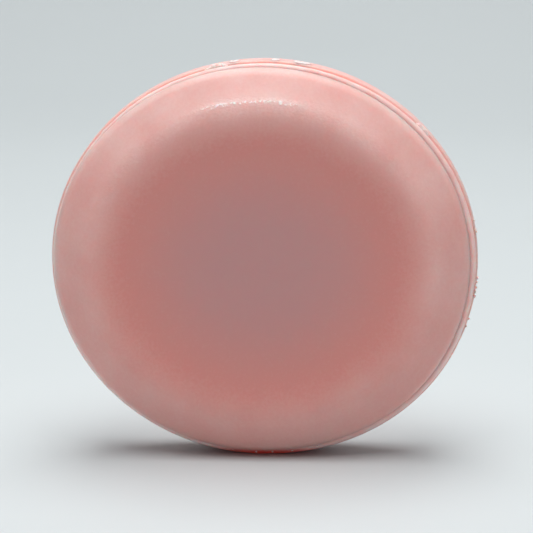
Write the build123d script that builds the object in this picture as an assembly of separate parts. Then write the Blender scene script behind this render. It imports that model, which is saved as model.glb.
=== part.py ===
from build123d import *
import math
import os
import random

# A puck of pressed shaving soap that stands on its edge.
#
# Frame: +X across the face, -Y out of the dished face, +Z up. The origin is the
# middle of the puck's width and thickness, on the surface that it stands on.
# Units are millimetres. An "inset" is a distance inwards from the outline.

# ---- whole puck -------------------------------------------------------------
WIDTH = 75.0
OVAL_HEIGHT = 70.3
STAND_FLAT = 0.35
CENTRE_Z = OVAL_HEIGHT / 2 - STAND_FLAT
THICKNESS = 19.0
# The oval is a little fuller at its lower right.
BULGE = 0.35
BULGE_ANGLE = math.radians(-45)
BULGE_SPREAD = math.radians(28)
OUTLINE_POINTS = 36
FRONT_Y = -THICKNESS / 2
BACK_Y = THICKNESS / 2

# ---- dished front cap -------------------------------------------------------
CAP_INSET = 1.03
# The front die sat a little off the rear one.
CAP_SHIFT = (-0.32, 0, 0.1)
CAP_DEPTH = 6.5
BEVEL_TILT = math.radians(38)
CREST_RADIUS = 6.0
RIM_RADIUS = 3.0
BEVEL_DROP = CAP_DEPTH - CREST_RADIUS * (1 - math.cos(BEVEL_TILT)) - RIM_RADIUS * math.cos(BEVEL_TILT)
DISH_DEPTH = 1.1
DISH_FLOOR_INSET = 21.0
CREST_STEPS = 3
RIM_STEPS = 5
SHOULDER_STEPS = 8
DISH_STEPS = 7

# ---- die parting: the trimmed flash band, its waist and its groove -----------
BAND_INSET = 0.35
BAND_LENGTH = 1.3
WAIST_INSET = 1.8
GROOVE_INSET = 0.75
GROOVE_LENGTH = 0.35
PARTING_Y = FRONT_Y + CAP_DEPTH
BAND_END_Y = PARTING_Y + BAND_LENGTH
BARREL_START_Y = BAND_END_Y + GROOVE_LENGTH

# ---- rear part --------------------------------------------------------------
REAR_SHOULDER = 7.55
BACK_INSET = 8.5
BACK_TURN = math.radians(82)
BARREL_END_Y = BACK_Y - REAR_SHOULDER

# ---- torn flash, crumbs and flakes -------------------------------------------
# Angles go round the rim from +X towards +Z, in degrees. Heights stand proud of it.
CHIP_ANGLE = 103.0
CHIP_LENGTH = 4.4
CHIP_DEPTH = 1.5
CHIP_HEIGHTS = (0.1, 0.55, 0.8, 0.35, 0.1)
LIP_ANGLE = 42.0
LIP_LENGTH = 3.6
LIP_DEPTH = 1.1
LIP_HEIGHTS = (0.1, 0.3, 0.5, 0.4, 0.1)
FLAKE_ANGLES = (79.9, 87.1, 98.1)
FLAKE_LENGTHS = (3.5, 2.0, 2.0)
FLAKE_DEPTH = 1.6
FLAKE_HEIGHTS = (0.05, 0.2, 0.25, 0.15, 0.05)
RIM_CRUMB_ANGLES = (12, 9.3, 8.5, -4.7, -6.1, -7.6, -9, -10.3, -16.8, -19.3)
RIM_CRUMB_SIZE = 0.7
FOOT_CRUMB_ANGLES = (-98.5, -92.0, -87.5, -82.0, -75.0)
FOOT_CRUMB_SIZE = 0.4
FOOT_CRUMB_INSET = 0.95
ROOT_DEPTH = 0.5
CRUMB_CORNERS = 6
CRUMB_SEED = 11


def rim_point(turn, inset, y):
    """The point of an oval at an angle in radians, that far inside the outline."""
    from_bulge = (turn - BULGE_ANGLE + math.pi) % (2 * math.pi) - math.pi
    grow = BULGE * math.exp(-((from_bulge / BULGE_SPREAD) ** 2)) - inset
    return Vector(
        (WIDTH / 2 + grow) * math.cos(turn),
        y,
        CENTRE_Z + (OVAL_HEIGHT / 2 + grow) * math.sin(turn),
    )


def oval(inset, y):
    """A flat oval face at depth y, that far inside the outline."""
    turns = [2 * math.pi * k / OUTLINE_POINTS for k in range(OUTLINE_POINTS)]
    outline = Spline(*[rim_point(turn, inset, y) for turn in turns], periodic=True)
    return make_face(outline)


def slab(inset, start_y, end_y):
    """A straight oval disc between two depths."""
    return extrude(oval(inset, start_y), amount=end_y - start_y, dir=(0, 1, 0))


def rim_plane(angle, inset, y):
    """A plane that touches the rim there: x runs round the rim, z points outward."""
    turn = math.radians(angle)
    outward = Vector(
        math.cos(turn) / WIDTH,
        0,
        math.sin(turn) / OVAL_HEIGHT,
    ).normalized()
    along = outward.cross(Vector(0, 1, 0))
    return Plane(origin=rim_point(turn, inset, y), x_dir=along, z_dir=outward)


def cap_profile():
    """(inset, y) from the parting up the rounded rim and the bevel to the crest."""
    profile = []
    for step in range(RIM_STEPS + 1):
        tilt = math.radians(90) + (BEVEL_TILT - math.radians(90)) * step / RIM_STEPS
        inset = CAP_INSET + RIM_RADIUS * (1 - math.sin(tilt))
        profile.append((inset, PARTING_Y - RIM_RADIUS * math.cos(tilt)))
    bevel_end = profile[-1][0] + BEVEL_DROP / math.tan(BEVEL_TILT)
    crest_inset = bevel_end + CREST_RADIUS * math.sin(BEVEL_TILT)
    for step in range(CREST_STEPS + 1):
        tilt = BEVEL_TILT * (1 - step / CREST_STEPS)
        inset = crest_inset - CREST_RADIUS * math.sin(tilt)
        profile.append((inset, FRONT_Y + CREST_RADIUS * (1 - math.cos(tilt))))
    return profile


def front_cap():
    """The rim, bevel, crest and shallow dish, lofted from ovals."""
    profile = cap_profile()
    crest_inset = profile[-1][0]
    for step in range(1, DISH_STEPS + 1):
        share = step / DISH_STEPS
        inset = crest_inset + (DISH_FLOOR_INSET - crest_inset) * share ** 1.3
        profile.append((inset, FRONT_Y + DISH_DEPTH * math.sin(math.radians(90) * share) ** 1.4))
    return Pos(*CAP_SHIFT) * loft([oval(inset, y) for inset, y in profile])


def rear_shoulder():
    """The rounding from the barrel wall to the flat back, which it meets at a slant."""
    sections = []
    for step in range(SHOULDER_STEPS + 1):
        turn = BACK_TURN * step / SHOULDER_STEPS
        inset = BACK_INSET * (1 - math.cos(turn)) / (1 - math.cos(BACK_TURN))
        y = BARREL_END_Y + REAR_SHOULDER * math.sin(turn) / math.sin(BACK_TURN)
        sections.append(oval(inset, y))
    return loft(sections)


def below_ground():
    """A block under the surface that the puck stands on, which wears its foot flat."""
    return Box(
        WIDTH,
        THICKNESS,
        2 * STAND_FLAT,
        align=(Align.CENTER, Align.CENTER, Align.MAX),
    )


def soap_body():
    """The pressed puck without its flash band."""
    body = front_cap()
    body += slab(WAIST_INSET, PARTING_Y, BAND_END_Y)
    body += slab(GROOVE_INSET, BAND_END_Y, BARREL_START_Y)
    body += slab(0, BARREL_START_Y, BARREL_END_Y)
    body += rear_shoulder()
    return body - below_ground()


def parting_flash():
    """The trimmed band of squeezed-out soap, seated on the waist."""
    outer = slab(BAND_INSET, PARTING_Y, BAND_END_Y)
    inner = slab(WAIST_INSET, PARTING_Y, BAND_END_Y)
    return outer - inner - below_ground()


def ridge(length, depth, heights):
    """A torn ridge that runs along x, with its root below z = 0."""
    sections = []
    for step, height in enumerate(heights):
        x = length * (step / (len(heights) - 1) - 0.5)
        outline = Polyline(
            (-depth / 2, -ROOT_DEPTH),
            (depth / 2, -ROOT_DEPTH),
            (depth / 2, height / 3),
            (-depth / 6, height),
            (-depth / 2, height / 4),
            close=True,
        )
        plane = Plane(origin=(x, 0, 0), x_dir=(0, 1, 0), z_dir=(1, 0, 0))
        sections.append(plane * make_face(outline))
    return loft(sections, ruled=True)


def crumb(size, draw):
    """An uneven crumb about the origin, from three stacked loops."""
    sections = []
    for level, share in ((-0.5, 0.7), (0.0, 1.0), (0.5, 0.5)):
        corners = []
        for corner in range(CRUMB_CORNERS):
            turn = 2 * math.pi * corner / CRUMB_CORNERS
            reach = size / 2 * share * draw.uniform(0.75, 1.0)
            corners.append((reach * math.cos(turn), reach * math.sin(turn)))
        loop = make_face(Polyline(*corners, close=True))
        sections.append(Plane.XY.offset(size * level * 0.8) * loop)
    return loft(sections, ruled=True)


def crumbs(angles, size, inset, y, neighbours):
    """Separate crumbs that cling to the rim, cut to fit against it."""
    draw = random.Random(CRUMB_SEED)
    group = []
    for angle in angles:
        own_size = size * draw.uniform(0.65, 1.0)
        own_y = y + size * draw.uniform(-0.4, 0.4)
        placed = rim_plane(angle, inset, own_y) * crumb(own_size, draw)
        group.append(outermost(placed, neighbours))
    return Compound(children=group)


def outermost(piece, neighbours):
    """What stays of a piece outside its neighbours, without any scrap cut off inside."""
    for neighbour in neighbours:
        piece = piece - neighbour
    return piece.solids().sort_by(SortBy.VOLUME)[-1]


def torn_chip(neighbours):
    """The curled chip of flash at the upper left."""
    chip = ridge(CHIP_LENGTH, CHIP_DEPTH, CHIP_HEIGHTS)
    return outermost(rim_plane(CHIP_ANGLE, BAND_INSET, BAND_END_Y) * chip, neighbours)


def torn_lip(neighbours):
    """The raised lip of flash at the upper right."""
    lip = ridge(LIP_LENGTH, LIP_DEPTH, LIP_HEIGHTS)
    return outermost(rim_plane(LIP_ANGLE, BAND_INSET, BAND_END_Y) * lip, neighbours)


def top_flakes(neighbours):
    """Thin flakes that lie on the top of the barrel wall, just behind the groove."""
    group = []
    for angle, length in zip(FLAKE_ANGLES, FLAKE_LENGTHS):
        flake = ridge(length, FLAKE_DEPTH, FLAKE_HEIGHTS)
        placed = rim_plane(angle, 0, BARREL_START_Y + FLAKE_DEPTH / 2) * flake
        group.append(outermost(placed, neighbours))
    return Compound(children=group)


def make_parts():
    """Every node of the puck, by name."""
    body = soap_body()
    flash = parting_flash()
    neighbours = [body, flash]
    foot_crumb_y = PARTING_Y - FOOT_CRUMB_SIZE
    return {
        "soap_body": body,
        "parting_flash": flash,
        "torn_chip": torn_chip(neighbours),
        "torn_lip": torn_lip(neighbours),
        "top_flakes": top_flakes(neighbours),
        "rim_crumbs": crumbs(RIM_CRUMB_ANGLES, RIM_CRUMB_SIZE, 0, BARREL_START_Y, neighbours),
        "foot_crumbs": crumbs(
            FOOT_CRUMB_ANGLES, FOOT_CRUMB_SIZE, FOOT_CRUMB_INSET, foot_crumb_y, neighbours
        ),
    }


os.makedirs("parts", exist_ok=True)
for name, shape in make_parts().items():
    export_step(shape, f"parts/{name}.step")
    print(name, round(shape.volume, 3), "mm3")
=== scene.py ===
import math
import random

import bmesh
import bpy
import numpy as np
from mathutils import Matrix, Vector, noise


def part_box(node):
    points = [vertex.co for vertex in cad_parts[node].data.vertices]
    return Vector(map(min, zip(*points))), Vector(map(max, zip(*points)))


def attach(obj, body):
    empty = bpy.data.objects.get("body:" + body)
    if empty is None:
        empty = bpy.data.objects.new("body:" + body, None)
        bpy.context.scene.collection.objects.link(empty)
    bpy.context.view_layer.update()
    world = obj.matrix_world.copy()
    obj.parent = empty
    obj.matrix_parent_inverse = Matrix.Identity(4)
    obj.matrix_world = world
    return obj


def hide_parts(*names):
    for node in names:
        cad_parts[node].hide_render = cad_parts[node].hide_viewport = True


# Looks of the shaving soap puck, in metres, in the CAD frame: +X across the face,
# -Y out of the dish, +Z up. An "inset" is a distance inwards from the outline.
# An "angle" goes round the rim from +X towards +Z, in radians.

MM = 0.001

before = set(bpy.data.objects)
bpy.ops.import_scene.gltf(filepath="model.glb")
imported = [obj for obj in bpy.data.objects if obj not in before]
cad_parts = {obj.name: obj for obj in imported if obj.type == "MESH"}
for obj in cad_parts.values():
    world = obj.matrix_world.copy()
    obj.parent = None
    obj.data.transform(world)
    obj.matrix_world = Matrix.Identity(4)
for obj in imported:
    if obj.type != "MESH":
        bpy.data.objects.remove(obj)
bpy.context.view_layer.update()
body_low, body_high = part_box("soap_body")
flash_low, flash_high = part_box("parting_flash")

# ---- places read from the frame ---------------------------------------------
HALF_WIDTH = -body_low.x
STAND_FLAT = 0.35 * MM
HALF_HEIGHT = (body_high.z - body_low.z + STAND_FLAT) / 2
CENTRE_Z = body_high.z - HALF_HEIGHT
FRONT_Y = body_low.y
BACK_Y = body_high.y
PARTING_Y = flash_low.y
BAND_END_Y = flash_high.y
BAND_INSET = HALF_WIDTH + flash_low.x

# ---- the puck's profile -----------------------------------------------------
CAP_INSET = 1.03 * MM
CAP_SHIFT = np.array((-0.32, 0, 0.1)) * MM    # the front die sat a little off the rear one
BEVEL_TILT = math.radians(38)
CREST_RADIUS = 6.0 * MM
RIM_RADIUS = 3.0 * MM
DISH_FLOOR_INSET = 21.0 * MM
DISH_SLOPE = 0.22
DISH_EDGE = 3.0 * MM
DISH_FADE = 2.0
FLOOR_SLOPE = 0.022
WAIST_INSET = 1.85 * MM
GROOVE_INSET = 0.75 * MM
GROOVE_LENGTH = 0.35 * MM
BARREL_START_Y = BAND_END_Y + GROOVE_LENGTH
BARREL_LENGTH = 3.3 * MM
BACK_INSET = 8.5 * MM

# ---- the fuller lower right of the oval ---------------------------------------
BULGE = 0.35 * MM
BULGE_ANGLE = math.radians(-45)
BULGE_SPREAD = math.radians(28)

# ---- unevenness -------------------------------------------------------------
SWELL = 0.06 * MM
SWELL_SIZE = 13 * MM
DENT = 0.012 * MM
DENT_SIZE = 2.4 * MM
WORN_FROM = math.radians(-27)
WORN_TO = math.radians(17)
WORN_DEPTH = 0.45 * MM
WORN_SIZE = 1.1 * MM

# ---- torn bits, crumbs and flakes: angles in degrees ----------------------------
CHIP_ANGLE = 103.0
CHIP_LENGTH = 4.2 * MM
CHIP_HEIGHTS = (0.0, 0.5, 0.72, 0.66, 0.3, 0.0)
LIP_ANGLE = 42.0
LIP_LENGTH = 3.2 * MM
LIP_HEIGHTS = (0.0, 0.42, 0.6, 0.45, 0.5, 0.0)
RIDGE_DEPTH = 0.9 * MM
FLAKE_ANGLES = (79.9, 87.1, 98.1)
FLAKE_LENGTHS = (3.5, 2.0, 2.0)
FLAKE_WIDTH = 2.0 * MM
FLAKE_THICKNESS = 0.1 * MM
RIM_CRUMB_ANGLES = (12, 9.3, 8.5, -4.7, -6.1, -7.6, -9, -10.3, -16.8, -19.3)
RIM_CRUMB_SIZE = 0.6 * MM
FOOT_CRUMB_ANGLES = (-98.5, -92.0, -87.5, -82.0, -75.0)
FOOT_CRUMB_SIZE = 0.36 * MM
FOOT_CRUMB_INSET = 0.95 * MM

# ---- painted red glow, from 0 to 1: red painted into the colour where light through thin soap reaches the shade; and colours ---
FOOT_PAINTED_GLOW_FROM = 0.2 * MM
FOOT_PAINTED_GLOW_TO = 1.6 * MM
CREVICE_PAINTED_GLOW = 0.15
LAND_PAINTED_GLOW = 0.12
# painted red glow: deep red put into the colour where light through the soap reaches shaded spots
PAINTED_RED_GLOW = (0.90, 0.10, 0.08)
CLEAR_SOAP = (0.76, 0.325, 0.29)
# frosted soap, also the colour of the painted sheen that lightens the top of the rim
FROST_AND_SHEEN_SOAP = (0.90, 0.655, 0.62)
# painted shade that darkens the dish toward its centre
PAINTED_DISH_SHADE = (0.62, 0.345, 0.34)
# white flecks painted on the scuffs as glints
PAINTED_GLINT_SOAP = (1.0, 0.86, 0.84)
FLOOR_COLOUR = (0.60, 0.64, 0.65)

# ---- mesh fineness ----------------------------------------------------------
AROUND = 620
ANGLES = np.arange(AROUND) * 2 * math.pi / AROUND


def smooth(value, low, high):
    """0 below low, 1 above high, and a smooth rise between."""
    share = np.clip((value - low) / (high - low), 0, 1)
    return share * share * (3 - 2 * share)


def turn_between(angle, centre):
    """The signed turn from centre to angle, between half turns."""
    return (angle - centre + math.pi) % (2 * math.pi) - math.pi


def fractal(point, size, octaves=3):
    """Smooth noise between about -1 and 1 with detail from that size downwards."""
    value = 0.0
    weight = 1.0
    for octave in range(octaves):
        value += weight * noise.noise(Vector(point) * (2 ** octave / size))
        weight *= 0.5
    return value


# ---- outline and profile ----------------------------------------------------
def oval(angles, inset, y):
    """Points on the oval that lies that far inside the outline, one for each angle."""
    turn = turn_between(angles, BULGE_ANGLE)
    fuller = BULGE * np.exp(-((turn / BULGE_SPREAD) ** 2))
    fuller = fuller * (1 - 0.7 * smooth(inset, 6 * MM, DISH_FLOOR_INSET))
    x = (HALF_WIDTH - inset + fuller) * np.cos(angles)
    z = CENTRE_Z + (HALF_HEIGHT - inset + fuller) * np.sin(angles)
    return np.stack([x, np.full_like(x, y), z], axis=1)


def outward(angle):
    """The direction straight out of the rim."""
    return Vector((math.cos(angle) / HALF_WIDTH, 0, math.sin(angle) / HALF_HEIGHT)).normalized()


def shoulder_profile():
    """(inset, y) from the crest down the bevel and the rounded rim to the parting."""
    depth = PARTING_Y - FRONT_Y
    bevel_drop = depth - CREST_RADIUS * (1 - math.cos(BEVEL_TILT)) - RIM_RADIUS * math.cos(BEVEL_TILT)
    rim_inset = CAP_INSET + RIM_RADIUS * (1 - math.sin(BEVEL_TILT))
    bevel_inset = rim_inset + bevel_drop / math.tan(BEVEL_TILT)
    crest_inset = bevel_inset + CREST_RADIUS * math.sin(BEVEL_TILT)
    rows = []
    for tilt in np.linspace(0, BEVEL_TILT, 11):
        inset = crest_inset - CREST_RADIUS * math.sin(tilt)
        rows.append((inset, FRONT_Y + CREST_RADIUS * (1 - math.cos(tilt))))
    crest_end = rows[-1]
    for share in np.linspace(0, 1, 13)[1:-1]:
        inset = crest_end[0] + (rim_inset - crest_end[0]) * share
        rows.append((inset, crest_end[1] + bevel_drop * share))
    for tilt in np.linspace(BEVEL_TILT, math.radians(88), 14):
        inset = CAP_INSET + RIM_RADIUS * (1 - math.sin(tilt))
        rows.append((inset, PARTING_Y - RIM_RADIUS * math.cos(tilt)))
    return rows


def dish_profile(crest_inset):
    """(inset, y) from the dish's floor out to the crest."""
    fine = np.linspace(crest_inset, DISH_FLOOR_INSET, 400)
    share = (fine - crest_inset) / (DISH_FLOOR_INSET - crest_inset)
    wall = DISH_SLOPE * smooth(fine, crest_inset, crest_inset + DISH_EDGE) * (1 - share) ** DISH_FADE
    slope = wall + FLOOR_SLOPE * share
    depth = np.concatenate([[0], np.cumsum((slope[1:] + slope[:-1]) / 2 * np.diff(fine))])
    insets = crest_inset + (DISH_FLOOR_INSET - crest_inset) * np.linspace(1, 0, 40) ** 1.7
    return [(inset, FRONT_Y + np.interp(inset, fine, depth)) for inset in insets[:-1]]


def parting_profile():
    """(inset, y) round the step's lip, the waist under the flash and the groove."""
    return [
        (CAP_INSET + 0.01 * MM, PARTING_Y - 0.14 * MM),
        (CAP_INSET + 0.05 * MM, PARTING_Y - 0.04 * MM),
        (CAP_INSET + 0.13 * MM, PARTING_Y + 0.0 * MM),
        (WAIST_INSET, PARTING_Y + 0.06 * MM),
        (WAIST_INSET, (PARTING_Y + BAND_END_Y) / 2),
        (WAIST_INSET, BAND_END_Y),
        (GROOVE_INSET, BAND_END_Y + 0.05 * MM),
        (GROOVE_INSET * 0.9, BAND_END_Y + 0.2 * MM),
        (GROOVE_INSET * 0.5, BAND_END_Y + 0.27 * MM),
        (GROOVE_INSET * 0.2, BARREL_START_Y),
        (GROOVE_INSET * 0.06, BARREL_START_Y + 0.12 * MM),
    ]


def rear_profile():
    """(inset, y) along the barrel wall and round to the flat back."""
    start = BARREL_START_Y
    end = start + BARREL_LENGTH
    depth = BACK_Y - end
    rows = [(0.0, y) for y in np.linspace(start + 0.3 * MM, end, 7)]
    for turn in np.radians(np.linspace(0, 86, 28)[1:]):
        rows.append((BACK_INSET * (1 - math.cos(turn)), end + depth * math.sin(turn)))
    rows.append((BACK_INSET, BACK_Y))
    return rows


# ---- meshes -----------------------------------------------------------------
def new_piece(name, points, faces, material):
    """A smooth-shaded mesh object whose faces all look outward."""
    mesh = bpy.data.meshes.new(name)
    mesh.from_pydata([tuple(p) for p in points], [], faces)
    mesh.validate()
    turned = bmesh.new()
    turned.from_mesh(mesh)
    bmesh.ops.recalc_face_normals(turned, faces=turned.faces)
    turned.to_mesh(mesh)
    turned.free()
    mesh.materials.append(material)
    mesh.shade_smooth()
    piece = bpy.data.objects.new(name, mesh)
    bpy.context.scene.collection.objects.link(piece)
    return piece


def painted(piece, name, values):
    """Gives every point of the piece a value that its material reads by name."""
    attribute = piece.data.attributes.new(name, "FLOAT", "POINT")
    attribute.data.foreach_set("value", np.asarray(values, dtype=np.float32))


def ring_faces(rings, around):
    """Quads that join each ring of points to the next ring."""
    faces = []
    for r in range(rings - 1):
        for k in range(around):
            a = r * around + k
            b = r * around + (k + 1) % around
            faces.append((a, b, b + around, a + around))
    return faces


def toward_centre(ring, share):
    """The ring shrunk toward the puck's axis."""
    centre = np.array((0, 0, CENTRE_Z))
    flat = ring * np.array((1, 0, 1)) - centre
    return centre + flat * share + ring * np.array((0, 1, 0))


def worn_rim(inset, y):
    """How far the barrel's front edge is eaten away on the right, for each angle."""
    start = BARREL_START_Y
    reach = 1 - smooth(y, start, start + 0.7 * MM)
    worn = np.zeros(AROUND)
    if inset > GROOVE_INSET * 0.3 or reach == 0:
        return worn
    for k, angle in enumerate(ANGLES):
        turn = turn_between(angle, 0)
        if WORN_FROM < turn < WORN_TO:
            edge = smooth(turn, WORN_FROM, WORN_FROM + 0.1) * (1 - smooth(turn, WORN_TO - 0.1, WORN_TO))
            place = (HALF_WIDTH * math.cos(angle), y * 0.5, HALF_HEIGHT * math.sin(angle))
            worn[k] = edge * reach * max(0, 0.25 + fractal(place, WORN_SIZE, 3)) * WORN_DEPTH
    return worn


def pressed(points, normals):
    """The points sunk a little by the soft unevenness of a pressed surface."""
    moved = []
    for point, normal in zip(points, normals):
        swell = 0.5 + 0.4 * fractal(point, SWELL_SIZE, 2)
        dent = 0.5 + 0.4 * fractal(point, DENT_SIZE, 2)
        moved.append(point - normal * (swell * SWELL + dent * DENT))
    return np.array(moved)


def soap_body(material):
    """The whole pressed puck: dish, crest, shoulder, step, waist, barrel and back."""
    shoulder = shoulder_profile()
    crest_inset = shoulder[0][0]
    dish = dish_profile(crest_inset)
    lip = parting_profile()
    cap = dish + shoulder + lip[:3]
    rest = lip[3:] + rear_profile()

    floor = oval(ANGLES, *dish[0])
    floor_radius = HALF_HEIGHT - DISH_FLOOR_INSET
    rings = []
    insets = []
    for share in np.linspace(0.03, 1, 16)[:-1]:
        ring = toward_centre(floor, share)
        ring[:, 1] += FLOOR_SLOPE * floor_radius * (1 - share ** 2) / 2
        rings.append(ring + CAP_SHIFT)
        insets.append(DISH_FLOOR_INSET + (1 - share) * floor_radius)
    for inset, y in cap:
        rings.append(oval(ANGLES, inset, y) + CAP_SHIFT)
        insets.append(inset)
    cap_rings = len(rings)
    for inset, y in rest:
        rings.append(oval(ANGLES, inset + worn_rim(inset, y), y))
        insets.append(inset)
    back = rings[-1]
    for share in np.linspace(1, 0.03, 12)[1:]:
        rings.append(toward_centre(back, share))
        insets.append(BACK_INSET)

    points = np.concatenate(rings)
    count = len(rings)
    faces = ring_faces(count, AROUND)
    faces.append(tuple(range(AROUND))[::-1])
    faces.append(tuple(range((count - 1) * AROUND, count * AROUND)))
    piece = new_piece("soap_body_surface", points, faces, material)
    normals = np.empty(len(points) * 3)
    piece.data.vertices.foreach_get("normal", normals)
    points = pressed(points, normals.reshape(-1, 3))
    points[:, 2] = np.maximum(points[:, 2], 0)
    piece.data.vertices.foreach_set("co", points.ravel())
    piece.data.update()
    paint_wear_and_light(piece, np.repeat(insets, AROUND), cap_rings, crest_inset)
    return piece


def paint_glow(piece, elsewhere=0):
    """Where red is painted into the colour, for light that passes through thin soap into the shade:
    close to the ground, and as given elsewhere.
    """
    heights = np.array([vert.co.z for vert in piece.data.vertices])
    foot = 1 - smooth(heights, FOOT_PAINTED_GLOW_FROM, FOOT_PAINTED_GLOW_TO)
    painted(piece, "painted_glow", np.maximum(foot, elsewhere))


def paint_wear_and_light(piece, insets, cap_rings, crest_inset):
    """Where the soap has its pale frosting, with a painted sheen that grows lighter toward the top;
    painted shade that darkens the dish toward its centre; scuffs along the crest with painted glints;
    and painted red where light through thin soap reaches the crevice and the ground.
    """
    angles = np.tile(ANGLES, len(insets) // AROUND)
    depths = np.array([vert.co.y for vert in piece.data.vertices])
    on_cap = np.arange(len(insets)) < cap_rings * AROUND
    crest = np.exp(-(((insets - crest_inset + 2.0 * MM) / (2.2 * MM)) ** 2))
    outside = 1 - smooth(insets, crest_inset - 3.5 * MM, crest_inset + 5.5 * MM)
    heights = np.array([vert.co.z for vert in piece.data.vertices])
    # how high on the rim, used to paint the top lighter as a painted sheen from the overhead light
    upward = smooth(heights, CENTRE_Z - HALF_HEIGHT / 2, CENTRE_Z + HALF_HEIGHT)
    # pale frosting of the shoulder and crest, plus painted sheen that grows toward the top
    frosting_and_painted_sheen = (0.32 + 0.25 * upward) * outside + 0.06 * crest
    painted(piece, "frosting_and_painted_sheen", np.where(on_cap, frosting_and_painted_sheen, 0.5))
    # painted shade: the dish darkened toward its centre
    painted(piece, "painted_dish_shade", np.where(on_cap, 0.9 * smooth(insets, crest_inset + 1 * MM, 30 * MM), 0))
    at_parting = ~on_cap & (depths < BARREL_START_Y)
    # painted red in the crevice at the parting, standing in for light through thin soap in its shade
    in_crevice = at_parting & (insets > GROOVE_INSET * 0.4) & (insets < 2 * MM)
    paint_glow(piece, np.where(in_crevice, CREVICE_PAINTED_GLOW, 0))
    # scuffs on the crest, with a row of painted glints along its top
    glint_row = np.exp(-(((insets - crest_inset + 3.3 * MM) / (0.45 * MM)) ** 2))
    turn = turn_between(angles, math.radians(94))
    sector = 1 - smooth(np.abs(turn), math.radians(12), math.radians(22))
    scuffs_and_glints = 0.4 * crest * (0.3 + 0.7 * upward) + 0.8 * glint_row * sector
    painted(piece, "scuffs_and_glints", np.where(on_cap, scuffs_and_glints, 0))


def parting_flash(material):
    """The trimmed band of flash: a pale land in front and a cut wall above it."""
    profile = [
        (WAIST_INSET - 0.03 * MM, PARTING_Y + 0.05 * MM),
        (CAP_INSET + 0.1 * MM, PARTING_Y + 0.05 * MM),
        (CAP_INSET - 0.12 * MM, PARTING_Y + 0.07 * MM),
        (BAND_INSET + 0.36 * MM, PARTING_Y + 0.16 * MM),
        (BAND_INSET + 0.17 * MM, PARTING_Y + 0.3 * MM),
        (BAND_INSET + 0.05 * MM, PARTING_Y + 0.46 * MM),
        (BAND_INSET, PARTING_Y + 0.62 * MM),
        (BAND_INSET, BAND_END_Y - 0.4 * MM),
        (BAND_INSET + 0.05 * MM, BAND_END_Y - 0.15 * MM),
        (BAND_INSET + 0.2 * MM, BAND_END_Y - 0.03 * MM),
        (WAIST_INSET - 0.03 * MM, BAND_END_Y - 0.03 * MM),
    ]
    points = []
    for inset, y in profile:
        trimmed = np.zeros(AROUND)
        if inset < CAP_INSET:
            places = oval(ANGLES, 0, 0)
            trimmed = np.array([0.06 * MM * (0.7 + fractal(p, 2.6 * MM)) for p in places])
        points.extend(oval(ANGLES, inset + trimmed, y))
    points = [(x, y, max(z, 0.0)) for x, y, z in points]
    faces = ring_faces(len(profile), AROUND)
    last = (len(profile) - 1) * AROUND
    for k in range(AROUND):
        after = (k + 1) % AROUND
        faces.append((last + k, last + after, after, k))
    piece = new_piece("parting_flash_band", points, faces, material)
    # painted red on the front land, standing in for light through thin soap in the shade under the step
    land = [LAND_PAINTED_GLOW if inset > CAP_INSET - 0.15 * MM else 0 for inset, y in profile]
    paint_glow(piece, np.repeat(land, AROUND))
    return piece


def rim_place(angle, inset, y):
    """A frame on the rim: x runs round it, y toward the back and z straight out."""
    point = Vector(oval(np.array([angle]), inset, y)[0])
    out = outward(angle)
    along = out.cross(Vector((0, 1, 0)))
    turned = Matrix((along, Vector((0, 1, 0)), out)).transposed().to_4x4()
    return Matrix.Translation(point) @ turned


def torn_ridge(name, angle, length, heights, material):
    """A torn sliver of flash that runs along the rim and curls back over it."""
    steps = 56
    angle = math.radians(angle)
    radius = Vector((HALF_WIDTH * math.sin(angle), HALF_HEIGHT * math.cos(angle))).length
    section = [
        (-0.5, -0.3), (-0.5, 0.12), (-0.42, 0.4), (-0.28, 0.72), (-0.1, 0.94),
        (0.08, 1.0), (0.16, 0.92), (0.12, 0.7), (0.2, 0.4), (0.42, 0.1), (0.5, -0.3),
    ]
    points = []
    for step in range(steps + 1):
        share = step / steps
        turn = angle + (share - 0.5) * length / radius
        rise = np.interp(share * (len(heights) - 1), range(len(heights)), heights) * MM
        ragged = fractal((share * length, 0.013, 0.4), 0.55 * MM, 3)
        rise = max(rise * (1 + 0.3 * ragged), 0.0)
        place = rim_place(turn, BAND_INSET, BAND_END_Y)
        for across, up in section:
            rough = fractal((share * length, across * MM, up * MM), 0.3 * MM, 2) * 0.035 * MM
            depth = across * RIDGE_DEPTH * (0.5 + 0.5 * rise / (0.7 * MM))
            points.append(place @ Vector((0, depth + rough, up * max(rise, 0.1 * MM) + rough)))
    around = len(section)
    faces = ring_faces(steps + 1, around)
    faces.append(tuple(range(around))[::-1])
    faces.append(tuple(range(steps * around, (steps + 1) * around)))
    return new_piece(name, points, faces, material)


def joined_mesh(name, parts, material):
    """One piece from several bmesh parts."""
    whole = bmesh.new()
    for part in parts:
        mesh = bpy.data.meshes.new("part")
        part.to_mesh(mesh)
        part.free()
        whole.from_mesh(mesh)
        bpy.data.meshes.remove(mesh)
    mesh = bpy.data.meshes.new(name)
    whole.to_mesh(mesh)
    whole.free()
    mesh.materials.append(material)
    mesh.shade_smooth()
    piece = bpy.data.objects.new(name, mesh)
    bpy.context.scene.collection.objects.link(piece)
    return piece


def crumb(place, size, draw):
    """A lumpy crumb of torn soap, flatter against the rim."""
    part = bmesh.new()
    bmesh.ops.create_icosphere(part, subdivisions=4, radius=size / 2)
    seed = Vector((draw.uniform(0, 9), draw.uniform(0, 9), draw.uniform(0, 9)))
    stretch = Vector((draw.uniform(0.8, 1.25), draw.uniform(0.6, 0.9), draw.uniform(0.6, 0.85)))
    for vert in part.verts:
        lump = 1 + 0.42 * fractal(vert.co / size + seed, 0.62, 3)
        vert.co = place @ (vert.co * stretch * lump)
    return part


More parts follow.
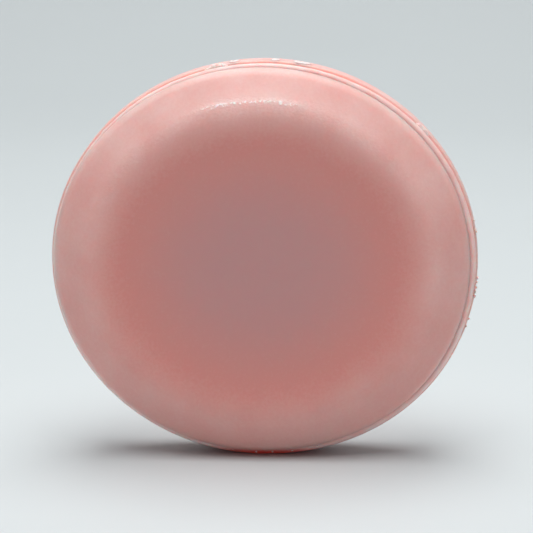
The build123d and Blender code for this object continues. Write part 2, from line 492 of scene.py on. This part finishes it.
def crumbs(name, angles, size, inset, y, seed, material):
    """Crumbs that cling to the rim."""
    draw = random.Random(seed)
    parts = []
    for angle in angles:
        own_size = size * draw.uniform(0.7, 1.0)
        own_y = y + size * draw.uniform(-0.35, 0.35)
        place = rim_place(math.radians(angle), inset, own_y)
        parts.append(crumb(place, own_size, draw))
    piece = joined_mesh(name, parts, material)
    for vert in piece.data.vertices:
        vert.co.z = max(vert.co.z, 0.0)
    return piece


def flake(angle, length, draw):
    """A thin shaving that lies on the rim with one side lifted."""
    around = 48
    part = bmesh.new()
    loops = []
    lift = draw.uniform(0.06, 0.1) * MM
    seed = draw.uniform(0, 9)
    # Each layer's share of the outline and of the thickness, from the top round to the bottom.
    layers = (
        (0.02, 1), (0.55, 1), (0.85, 1), (0.97, 0.8),
        (1.0, 0.5), (0.97, 0.2), (0.85, 0), (0.02, 0),
    )
    for share, level in layers:
        loop = []
        for k in range(around):
            turn = 2 * math.pi * k / around
            ragged = 1 + 0.5 * fractal((math.cos(turn) + seed, math.sin(turn), 0.5), 0.7, 3)
            x = share * ragged * length / 2 * math.cos(turn)
            y = share * ragged * FLAKE_WIDTH / 2 * math.sin(turn)
            wave = 0.03 * MM * noise.noise(Vector((x, y, seed * MM)) * (1 / (0.6 * MM)))
            up = level * FLAKE_THICKNESS + wave + lift * (0.5 + y / FLAKE_WIDTH)
            place = rim_place(angle - x / HALF_WIDTH, 0.02 * MM, BARREL_START_Y + 1.2 * MM + y)
            loop.append(part.verts.new(place @ Vector((0, 0, up))))
        loops.append(loop)
    for inner, outer in zip(loops, loops[1:]):
        for k in range(around):
            after = (k + 1) % around
            part.faces.new((inner[k], outer[k], outer[after], inner[after]))
    part.faces.new(loops[0])
    part.faces.new(loops[-1][::-1])
    bmesh.ops.recalc_face_normals(part, faces=part.faces)
    return part


def top_flakes(material):
    """The white shavings on top of the barrel wall."""
    draw = random.Random(5)
    parts = []
    for angle, length in zip(FLAKE_ANGLES, FLAKE_LENGTHS):
        parts.append(flake(math.radians(angle), length * MM, draw))
    return joined_mesh("top_flakes_shavings", parts, material)


# ---- material nodes ---------------------------------------------------------
def new_material(name):
    """A node material, its node tree and its Principled shader."""
    material = bpy.data.materials.new(name)
    material.use_nodes = True
    tree = material.node_tree
    return material, tree, tree.nodes["Principled BSDF"]


def grain(tree, size, detail=3.0, stretch=(1, 1, 1)):
    """Noise from 0 to 1 whose blotches are about that size, longer where stretch is small."""
    place = tree.nodes.new("ShaderNodeTexCoord")
    mapping = tree.nodes.new("ShaderNodeMapping")
    mapping.inputs["Scale"].default_value = stretch
    texture = tree.nodes.new("ShaderNodeTexNoise")
    texture.inputs["Scale"].default_value = 1 / size
    texture.inputs["Detail"].default_value = detail
    tree.links.new(place.outputs["Object"], mapping.inputs["Vector"])
    tree.links.new(mapping.outputs["Vector"], texture.inputs["Vector"])
    return texture.outputs["Fac"]


def ranged(tree, source, low, high, start, end):
    """The source's span from low to high spread over start to end."""
    node = tree.nodes.new("ShaderNodeMapRange")
    node.inputs["From Min"].default_value = low
    node.inputs["From Max"].default_value = high
    node.inputs["To Min"].default_value = start
    node.inputs["To Max"].default_value = end
    tree.links.new(source, node.inputs["Value"])
    return node.outputs["Result"]


def maths(tree, operation, first, second):
    """A sum, product or the like of two outputs."""
    node = tree.nodes.new("ShaderNodeMath")
    node.operation = operation
    tree.links.new(first, node.inputs[0])
    tree.links.new(second, node.inputs[1])
    return node.outputs["Value"]


def blended(tree, factor, first, second):
    """A colour between the first, a colour or an output, and the second, by the factor."""
    node = tree.nodes.new("ShaderNodeMix")
    node.data_type = "RGBA"
    colours = [socket for socket in node.inputs if socket.type == "RGBA"]
    if isinstance(first, bpy.types.NodeSocket):
        tree.links.new(first, colours[0])
    else:
        colours[0].default_value = (*first, 1)
    colours[1].default_value = (*second, 1)
    tree.links.new(factor, node.inputs["Factor"])
    return next(socket for socket in node.outputs if socket.type == "RGBA")


def value_named(tree, name):
    """The value painted on the mesh under that name."""
    node = tree.nodes.new("ShaderNodeAttribute")
    node.attribute_name = name
    return node.outputs["Fac"]


def bumped(tree, shader, heights):
    """Raises the surface by each (source, height in metres) in turn."""
    before = None
    for source, height in heights:
        node = tree.nodes.new("ShaderNodeBump")
        node.inputs["Distance"].default_value = height
        tree.links.new(source, node.inputs["Height"])
        if before:
            tree.links.new(before, node.inputs["Normal"])
        before = node.outputs["Normal"]
    tree.links.new(before, shader.inputs["Normal"])


def translucent(shader, depth):
    """Light goes in, scatters over that depth and comes out red."""
    shader.inputs["Subsurface Weight"].default_value = 1.0
    shader.inputs["Subsurface Radius"].default_value = (1.0, 0.4, 0.32)
    shader.inputs["Subsurface Scale"].default_value = depth
    shader.inputs["IOR"].default_value = 1.45
    shader.inputs["Specular IOR Level"].default_value = 0.3


def soap_material():
    """Pressed pink soap: clear in the dish with painted shade toward its centre, pale frosting with a
    painted sheen toward the top on the crest and rim, painted glints on the crest's scuffs and painted
    red near the ground.
    """
    material, tree, shader = new_material("milled_soap")
    translucent(shader, 3.5 * MM)
    patches = ranged(tree, grain(tree, 9 * MM, 4.0), 0.3, 0.7, 0.7, 1.3)
    frosting_and_painted_sheen = maths(tree, "MULTIPLY", value_named(tree, "frosting_and_painted_sheen"), patches)
    specks = ranged(tree, grain(tree, 0.5 * MM, 3.0), 0.35, 0.75, -0.05, 0.07)
    scuffs_and_glints = value_named(tree, "scuffs_and_glints")
    scratches = grain(tree, 0.45 * MM, 4.0, (0.9, 1, 1.2))
    scratches_and_glints = maths(tree, "MULTIPLY", scratches, scuffs_and_glints)
    haze = ranged(tree, scratches_and_glints, 0.15, 0.28, 0, 0.16)
    # frosting plus the painted sheen toward the top, specks and haze
    frost_sheen_and_haze = maths(tree, "ADD", maths(tree, "ADD", frosting_and_painted_sheen, specks), haze)
    frosting_and_sheen_colour = blended(tree, frost_sheen_and_haze, CLEAR_SOAP, FROST_AND_SHEEN_SOAP)
    # painted shade that darkens the dish toward its centre
    with_dish_shade = blended(tree, value_named(tree, "painted_dish_shade"), frosting_and_sheen_colour, PAINTED_DISH_SHADE)
    # painted glints: white flecks on the crest's scuffs
    glint_flecked = blended(tree, ranged(tree, scratches_and_glints, 0.49, 0.53, 0, 1), with_dish_shade, PAINTED_GLINT_SOAP)
    # painted red where light through thin soap reaches shaded spots
    colour = blended(tree, value_named(tree, "painted_glow"), glint_flecked, PAINTED_RED_GLOW)
    tree.links.new(colour, shader.inputs["Base Color"])
    dry = ranged(tree, grain(tree, 4 * MM, 5.0), 0.3, 0.7, 0.3, 0.44)
    gloss = ranged(tree, scratches_and_glints, 0.42, 0.5, 0, 0.25)
    tree.links.new(maths(tree, "SUBTRACT", dry, gloss), shader.inputs["Roughness"])
    bumped(tree, shader, [
        (grain(tree, 1.6 * MM, 4.0), 0.02 * MM),
        (grain(tree, 0.28 * MM, 2.0), 0.004 * MM),
        (scratches_and_glints, 0.22 * MM),
    ])
    return material


def trimmed_material():
    """Flash that a blade has trimmed: paler, drier and streaked along the cut."""
    material, tree, shader = new_material("trimmed_soap")
    translucent(shader, 0.5 * MM)
    streaks = grain(tree, 0.8 * MM, 4.0, (0.15, 3, 0.15))
    patches = grain(tree, 3 * MM, 3.0)
    pale = ranged(tree, maths(tree, "ADD", streaks, patches), 0.7, 1.3, 0, 1)
    cut = blended(tree, pale, (0.93, 0.58, 0.55), (0.95, 0.76, 0.73))
    # painted red where light through thin soap reaches shaded spots
    colour = blended(tree, value_named(tree, "painted_glow"), cut, PAINTED_RED_GLOW)
    tree.links.new(colour, shader.inputs["Base Color"])
    tree.links.new(ranged(tree, streaks, 0.3, 0.7, 0.42, 0.6), shader.inputs["Roughness"])
    bumped(tree, shader, [
        (streaks, 0.03 * MM),
        (grain(tree, 0.4 * MM, 3.0), 0.02 * MM),
    ])
    return material


def torn_material():
    """Soap that has torn: rough, in clumps of paler and deeper pink."""
    material, tree, shader = new_material("torn_soap")
    translucent(shader, 0.5 * MM)
    clumps = grain(tree, 0.35 * MM, 4.0)
    pale = ranged(tree, clumps, 0.35, 0.65, 0, 1)
    colour = blended(tree, pale, (0.92, 0.60, 0.56), (0.96, 0.80, 0.77))
    tree.links.new(colour, shader.inputs["Base Color"])
    tree.links.new(ranged(tree, clumps, 0.3, 0.7, 0.35, 0.6), shader.inputs["Roughness"])
    bumped(tree, shader, [(clumps, 0.05 * MM)])
    return material


def flake_material():
    """Thin white shavings with a hard gloss."""
    material, tree, shader = new_material("thin_shaving")
    wrinkles = grain(tree, 0.5 * MM, 3.0, (1, 2.5, 1))
    pale = ranged(tree, wrinkles, 0.35, 0.65, 0, 1)
    colour = blended(tree, pale, (0.92, 0.70, 0.67), (0.97, 0.89, 0.87))
    tree.links.new(colour, shader.inputs["Base Color"])
    tree.links.new(ranged(tree, wrinkles, 0.3, 0.7, 0.2, 0.4), shader.inputs["Roughness"])
    bumped(tree, shader, [(wrinkles, 0.06 * MM)])
    return material


def floor_material():
    """The plain pale sweep under and behind the puck, with a faint paper tooth."""
    material, tree, shader = new_material("pale_sweep")
    tone = ranged(tree, grain(tree, 60 * MM, 3.0), 0.3, 0.7, 0, 1)
    colour = blended(tree, tone, FLOOR_COLOUR, [1.012 * part for part in FLOOR_COLOUR])
    tree.links.new(colour, shader.inputs["Base Color"])
    shader.inputs["Roughness"].default_value = 0.65
    bumped(tree, shader, [(grain(tree, 0.6 * MM, 3.0), 0.01 * MM)])
    return material


# ---- stage, lights and camera -----------------------------------------------
def sweep():
    """A floor that curves up into a backdrop."""
    half = 1.6
    back = 0.9
    radius = 0.5
    rows = [(-1.2, 0.0), (back - radius, 0.0)]
    for turn in np.linspace(0, 90, 17)[1:]:
        angle = math.radians(turn)
        rows.append((back - radius + radius * math.sin(angle), radius * (1 - math.cos(angle))))
    rows.append((back, 2.2))
    points = []
    for y, z in rows:
        points.append(Vector((-half, y, z)))
        points.append(Vector((half, y, z)))
    faces = [(2 * k, 2 * k + 1, 2 * k + 3, 2 * k + 2) for k in range(len(rows) - 1)]
    piece = new_piece("sweep", points, faces, floor_material())


def softbox(name, place, target, size, power):
    """A soft square light that looks at a point."""
    light = bpy.data.lights.new(name, "AREA")
    light.shape = "RECTANGLE"
    light.size, light.size_y = size
    light.energy = power
    lamp = bpy.data.objects.new(name, light)
    lamp.location = place
    lamp.rotation_euler = (Vector(target) - Vector(place)).to_track_quat("-Z", "Y").to_euler()
    bpy.context.scene.collection.objects.link(lamp)


def surroundings():
    """Even pale light from all around, like the walls of a light tent."""
    world = bpy.data.worlds.new("tent")
    world.use_nodes = True
    background = world.node_tree.nodes["Background"]
    background.inputs["Color"].default_value = (0.93, 0.97, 1.0, 1)
    background.inputs["Strength"].default_value = 0.11
    bpy.context.scene.world = world


def camera():
    """A view straight onto the dish, from a little above and to the right."""
    distance = 0.65
    azimuth = math.radians(3.1)
    elevation = math.radians(10.5)
    target = Vector((0.34 * MM, 0, 33.26 * MM))
    away = Vector((
        math.sin(azimuth) * math.cos(elevation),
        -math.cos(azimuth) * math.cos(elevation),
        math.sin(elevation),
    ))
    data = bpy.data.cameras.new("camera")
    data.sensor_width = 36
    data.lens = 249.3
    data.clip_start = 0.01
    eye = bpy.data.objects.new("camera", data)
    eye.location = target + away * distance
    eye.rotation_euler = (-away).to_track_quat("-Z", "Y").to_euler()
    bpy.context.scene.collection.objects.link(eye)
    bpy.context.scene.camera = eye


# ---- build ------------------------------------------------------------------
def stand_in(piece, node):
    """Puts a detailed piece in a CAD node's place."""
    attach(piece, "root")
    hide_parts(node)


torn = torn_material()
foot_y = PARTING_Y - FOOT_CRUMB_SIZE
stand_in(soap_body(soap_material()), "soap_body")
stand_in(parting_flash(trimmed_material()), "parting_flash")
stand_in(
    torn_ridge("torn_chip_curl", CHIP_ANGLE, CHIP_LENGTH, CHIP_HEIGHTS, torn),
    "torn_chip",
)
stand_in(
    torn_ridge("torn_lip_curl", LIP_ANGLE, LIP_LENGTH, LIP_HEIGHTS, torn),
    "torn_lip",
)
stand_in(top_flakes(flake_material()), "top_flakes")
stand_in(
    crumbs("rim_crumb_lumps", RIM_CRUMB_ANGLES, RIM_CRUMB_SIZE, 0, BARREL_START_Y, 3, torn),
    "rim_crumbs",
)
stand_in(
    crumbs("foot_crumb_lumps", FOOT_CRUMB_ANGLES, FOOT_CRUMB_SIZE, FOOT_CRUMB_INSET, foot_y, 4, torn),
    "foot_crumbs",
)

sweep()
surroundings()
softbox("overhead", (0, 0, 0.74), (0, 0, 0), (0.48, 1.05), 8.0)
softbox("front_fill", (0, -0.7, 0.1), (0, 0, 0.01), (0.9, 0.15), 0.33)
for side in (-1, 1):
    softbox("side", (side * 0.55, 0.02, 0.26), (0, 0, 0.02), (0.5, 0.5), 0.42)
camera()

view = bpy.context.scene.view_settings
view.view_transform = "Standard"
view.look = "None"
